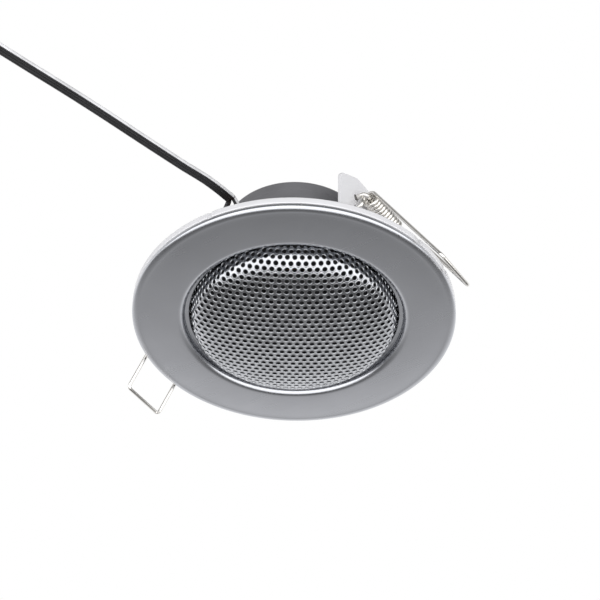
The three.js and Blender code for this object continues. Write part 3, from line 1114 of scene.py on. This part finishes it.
def make_staple(side, name):
    """The wire that the spring turns on. Each arm is riveted behind the plate, with a brace below it."""
    x, z = COIL_AXIS.x, COIL_AXIS.z
    back = BRACKET_X - 0.55
    ends = [[(back, end * STAPLE_HALF, z), (x, end * STAPLE_HALF, z), (x, 0, z)] for end in (-1, 1)]
    near, far = ends
    path = [Vector(near[0]), *bend(*near, 1.3), *bend(*reversed(far), 1.3), Vector(far[0])]
    parts = [sweep("wire", path, circle_section(STAPLE_WIRE / 2, 20))]
    for end in (-1, 1):
        low_end = (back, end * STAPLE_HALF, STAPLE_BRACE_Z)
        elbow = (x - 0.9, end * STAPLE_HALF, STAPLE_BRACE_Z + 0.3)
        up_end = (x - 0.9, end * STAPLE_HALF, z - 0.2)
        brace = [Vector(low_end), *bend(low_end, elbow, up_end, 1.2), Vector(up_end)]
        parts.append(sweep("wire", brace, circle_section(0.45, 16)))
    staple = join_pieces("spring_staple_wire_" + name, parts)
    turn_half(staple, side)
    finish_piece(staple, "housing", "spring_steel", ["spring_staple_" + name])


def make_spring(side, name):
    """One wire: a leg up to the coil, its turns about the staple, and a leg back down to the bail's bar."""
    to_bar = Vector((BAIL_BAR.x - COIL_AXIS.x, BAIL_BAR.z - COIL_AXIS.z))
    lean = math.atan2(to_bar.y, to_bar.x) - math.asin(COIL_MEAN / to_bar.length)
    reach = math.sqrt(to_bar.length ** 2 - COIL_MEAN ** 2)
    leg = Vector((math.cos(lean), 0, math.sin(lean)))
    off = Vector((-math.sin(lean), 0, math.cos(lean))) * COIL_MEAN
    corner = [COIL_AXIS + off + leg * reach + Vector((0, end * BAIL_HALF, 0)) for end in (-1, 1)]
    top = COIL_AXIS + off + Vector((0, -BAIL_HALF, 0))
    crossing = COIL_AXIS + off + leg * 13 + Vector((0, BAIL_HALF, 0))
    path = bend(corner[1], corner[0], top, 1.1)
    path += [corner[0] * (1 - t) + top * t for t in (0.1, 0.3, 0.5, 0.7, 0.9)]
    steps = int(SPRING_TURNS * 20)
    for i in range(steps + 1):
        share = i / steps
        angle = lean + math.pi / 2 + 2 * math.pi * SPRING_TURNS * share
        y = -BAIL_HALF + 2 * BAIL_HALF * share
        path.append(COIL_AXIS + Vector((math.cos(angle), 0, math.sin(angle))) * COIL_MEAN + Vector((0, y, 0)))
    foot = path[-1]
    for i in range(1, 9):
        share = i / 8
        ease = share * share * (3 - 2 * share)
        along = foot + leg * 13 * share
        path.append(along + (crossing - foot - leg * 13) * ease)
    path += [crossing * (1 - t) + corner[1] * t for t in (0.3, 0.6, 0.85)]
    path += bend(crossing, corner[1], corner[0], 1.1)
    path.append(path[0].copy())
    spring = sweep("spring_wire_" + name, path, circle_section(WIRE / 2, 14))
    turn_half(spring, side)
    finish_piece(spring, "bail_" + name, "spring_steel", ["spring_clip_" + name])


make_mounting_frame()
make_frame_screws()
for side, name in reversed(SIDES):
    make_bracket(side, name)
    make_bracket_rivets(side, name)
    make_staple(side, name)
    make_spring(side, name)


# ==== driver ====
COVER = high("rear_cover").x
COVER_TOP = high("rear_cover").z
COVER_BOTTOM = low("rear_cover").z
COVER_BEAD = COVER_TOP - 3.5


def make_rear_cover():
    """A drawn cup over the magnet, with a rolled bead near its closed end."""
    wall, chamfer, step = 0.8, 0.9, 0.3
    outline = rounded([
        (0, COVER_TOP - wall),
        (COVER - step - chamfer, COVER_TOP - wall, 0.4),
        (COVER - step - wall, COVER_TOP - wall - chamfer, 0.4),
        (COVER - step - wall, COVER_BEAD),
        (COVER - wall, COVER_BEAD - step),
        (COVER - wall, COVER_BOTTOM, 0.15),
        (COVER, COVER_BOTTOM, 0.3),
        (COVER, COVER_BEAD - step, 0.12),
        (COVER - step - 0.1, COVER_BEAD, 0.12),
        (COVER - step, COVER_BEAD + 0.25, 0.1),
        (COVER - step, COVER_TOP - chamfer, 0.6),
        (COVER - step - chamfer, COVER_TOP, 0.6),
        (15.2, COVER_TOP, 0.2),
        (14.8, COVER_TOP - 0.2, 0.2),
        (0, COVER_TOP - 0.2),
    ], closed=False)
    cup = revolve("rear_cover_cup", outline, 160)
    finish_piece(cup, "housing", "cover_grey", ["rear_cover"])


def make_basket():
    """The driver's pressed chassis, with eight windows under the surround."""
    outline = rounded([
        (21.2, 0, 0.1), (28, 0, 0.25), (28, 0.7, 0.25), (23.4, 0.7, 0.5), (21.6, 2.3, 0.6), (17.8, 9.6, 0.5),
        (15.5, 9.6, 0.2), (15.5, 11, 0.25), (8.6, 11, 0.1), (8.6, 10.3, 0.1), (14.8, 10.3, 0.2),
        (14.8, 8.9, 0.2), (17.3, 8.9, 0.4), (21, 2, 0.5),
    ])
    chassis = revolve("basket_pressing", outline, 144)
    cutters = []
    for i in range(8):
        window = rounded([(16.4, -3.2, 0.9), (22.5, -3.7, 0.9), (22.5, 3.7, 0.9), (16.4, 3.2, 0.9)])
        cutter = extrude("cutter", window, lambda a, b, c: (a, b, c), 3.2, 7.8)
        cutter.data.transform(Matrix.Rotation(i * math.pi / 4, 4, "Z"))
        cutters.append(cutter)
    cutters += [rod(SCREW_HOLE, (x, y, -1), (x, y, 2)) for x, y in around(SCREW_CIRCLE, 4, 45)]
    carve(chassis, cutters)
    soften(chassis, 0.1)
    finish_piece(chassis, "housing", "basket_steel", ["basket"])


def ripple(inner, outer, level, height, waves, per_wave=8):
    """A corrugated line across a ring, as (radius, height) points."""
    count = waves * per_wave
    return [
        (inner + (outer - inner) * i / count, level + height * math.sin(2 * math.pi * waves * i / count))
        for i in range(count + 1)
    ]


def make_motor():
    """Top plate, magnet and yoke, and the gasket over the surround's edge."""
    plate = rounded([(7.5, 11.3, 0.1), (15.5, 11.3, 0.25), (15.5, 13.8, 0.25), (7.5, 13.8, 0.1)])
    finish_piece(revolve("top_plate_disc", plate, 96), "housing", "zinc", ["top_plate"])
    ring = rounded([(9.5, 14.1, 0.4), (16.3, 14.1, 0.5), (16.3, 21.1, 0.5), (9.5, 21.1, 0.4)])
    finish_piece(revolve("magnet_ring", ring, 96), "housing", "ferrite", ["magnet"])
    yoke = rounded([
        (0, 11.3), (5.9, 11.3, 0.3), (5.9, 21.4, 0.3), (15.5, 21.4, 0.2), (15.5, 24, 0.7), (4, 24, 0.3),
        (3.4, 23.4, 0.2), (0, 23.4),
    ], closed=False)
    finish_piece(revolve("yoke_turning", yoke, 96), "housing", "zinc", ["yoke"])
    gasket = rounded([(22.5, -1.25, 0.2), (24.8, -1.25, 0.2), (24.8, -0.65, 0.2), (22.5, -0.65, 0.2)])
    gasket = revolve("cone_gasket_ring", gasket, 96)
    finish_piece(gasket, "housing", "ferrite", ["cone_gasket"])


def revolve_part(name, outline, start, end, steps=8):
    """The part of a turned ring between two angles, closed at both ends."""
    points = []
    for i in range(steps + 1):
        angle = start + (end - start) * i / steps
        points += [(r * math.cos(angle), r * math.sin(angle), z) for r, z in outline]
    return face_outwards(add_mesh(name, points, skin(steps + 1, len(outline))))


FLEXING_PARTS = 12


def make_flexing_ring(name, outline, node, slot):
    """A ring that moves with the cone inside and is held outside. Each part bends along its own radius."""
    width = 2 * math.pi / FLEXING_PARTS
    for i in range(FLEXING_PARTS):
        middle = i * width
        part = revolve_part(f"{name}_{i + 1}", outline, middle - width / 2, middle + width / 2)
        finish_piece(part, None, slot, [node] if i == 0 else ())
        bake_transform(part)


def make_moving_system():
    """Surround, ribbed paper cone, dust cap, voice coil and spider, which travel together."""
    over = arc(20.6, -0.35, 1.5, 1.3, 180, 360, 16)
    under = arc(20.6, -0.35, 1.2, 1.0, 360, 180, 16)
    outer_edge = [(24.8, -0.35), (24.8, -0.15), (21.9, -0.15)]
    surround = [(18.2, -0.35), *over, *outer_edge, *under, (19.2, -0.1), (18.2, -0.1)]
    make_flexing_ring("surround_roll", surround, "surround", "rubber")
    pieces = []

    ribs = 4
    shares = [i / 32 for i in range(33)]
    front = [(18.9 - 11.5 * t, 0.2 + 7 * t + 0.09 * math.sin(2 * math.pi * ribs * t)) for t in shares]
    back = [(r + 0.4, z + 0.25) for r, z in reversed(front)]
    pieces.append((revolve("cone_paper_shell", [*front, *back], 128), "cone_paper", "cone"))

    outside = arc(0, 6.2, 7.4, -2.4, 90, 0, 14)
    inside = arc(0, 6.2, 7.1, -2.1, 0, 90, 14)
    glued_edge = [(7.85, 6.45), (7.85, 6.7), (7.1, 6.85)]
    cap = [(0, outside[0][1]), *outside[1:], *glued_edge, *inside[:-1], (0, inside[-1][1])]
    pieces.append((revolve("dust_cap_dome", cap, 96), "cone_paper", "dust_cap"))

    former = rounded([(6.3, 6.5, 0.05), (6.55, 6.5, 0.05), (6.55, 14.6, 0.05), (6.3, 14.6, 0.05)])
    pieces.append((revolve("voice_coil_tube", former, 72), "kapton", "voice_coil_former"))
    winding = [(6.65, 11.6)]
    turns = 13
    pitch = (14.3 - 11.6) / turns
    for i in range(turns):
        winding += arc(7.03, 11.6 + (i + 0.5) * pitch, 0.12, pitch / 2, -90, 90, 4)
    winding.append((6.65, 14.3))
    pieces.append((revolve("voice_coil_turns", winding, 72), "copper", "voice_coil_winding"))

    wave = ripple(6.85, 14.5, 9.15, 0.2, 5)
    cloth = [*wave, *[(r, z + 0.25) for r, z in reversed(wave)]]
    make_flexing_ring("spider_disc", cloth, "spider", "cloth")
    for piece, slot, node in pieces:
        finish_piece(piece, "cone_assembly", slot, [node])


make_rear_cover()
make_basket()
make_motor()
make_moving_system()


# ==== terminals ====
def make_terminals():
    """A board with two soldered lugs, and the two braids that feed the voice coil."""
    face, back = low("terminal_strip").y, low("terminal_strip").y + 1.2
    half, top, bottom = high("terminal_strip").x, high("terminal_strip").z, low("terminal_strip").z
    lug_z = (low("terminal_lug_left").z + high("terminal_lug_left").z) / 2
    lug_x = (low("terminal_lug_right").x + high("terminal_lug_right").x) / 2
    outline = rounded([(-half, bottom, 0.3), (half, bottom, 0.3), (half, top, 0.8), (-half, top, 0.8)])
    board = extrude("board", outline, lambda a, b, c: (a, c, b), face, back)
    cutters = []
    for x in (-lug_x, lug_x):
        cutters.append(block(x - 1.25, x + 1.25, face - 1, back + 1, lug_z - 0.55, lug_z + 0.55))
    cutters.append(rod(0.7, (0, face - 1, bottom + 2.2), (0, back + 1, bottom + 2.2)))
    carve(board, cutters)
    feet = [block(*sorted((s * 2.8, s * half)), back - 0.1, -20.6, bottom, bottom + 1.2) for s in (-1, 1)]
    board = join_pieces("terminal_board", [board, *feet])
    soften(board, 0.12)
    finish_piece(board, "housing", "board", ["terminal_strip"])

    for s, name in SIDES:
        tip, root = low("terminal_lug_" + name).y, high("terminal_lug_" + name).y
        tag = rounded([(-0.95, root, 0.2), (0.95, root, 0.2), (0.95, tip, 0.7), (-0.95, tip, 0.7)])
        lug = extrude("lug", tag, lambda a, b, c: (s * lug_x + a, b, c), lug_z - 0.25, lug_z + 0.25)
        carve(lug, [rod(0.35, (s * lug_x, root - 0.7, lug_z - 1), (s * lug_x, root - 0.7, lug_z + 1), 16)])
        soften(lug, 0.08)
        blob = revolve("solder", [(0, 0), (0.85, 0), *arc(0, 0.02, 0.85, 0.42, 0, 90, 6)[:-1], (0, 0.44)], 24)
        shift(blob, s * lug_x, tip + 1.0, lug_z + 0.2)
        lug = join_pieces("terminal_lug_tag_" + name, [lug, blob])
        finish_piece(lug, "housing", "tin", ["terminal_lug_" + name])

        lead_path = smooth_path([
            (s * lug_x, back + 1.2, lug_z), (s * 1.9, -21.2, 10.8), (s * 2, -20.7, 8.2), (s * 2, -19.6, 6),
            (s * 2.1, -17.6, 4.8), (s * 2.2, -14.6, 4.1),
        ], 8)
        lead = sweep("tinsel_braid_" + name, lead_path, braid_section(0.34))
        finish_piece(lead, None, "copper", ["tinsel_lead_" + name])
        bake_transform(lead)


def braid_section(radius, lobes=5):
    """A round section with a groove between strands."""
    angles = [2 * math.pi * k / (lobes * 3) for k in range(lobes * 3)]
    return [
        (radius * (1 - 0.14 * (k % 3 == 0)) * math.cos(a), radius * (1 - 0.14 * (k % 3 == 0)) * math.sin(a))
        for k, a in enumerate(angles)
    ]


make_terminals()
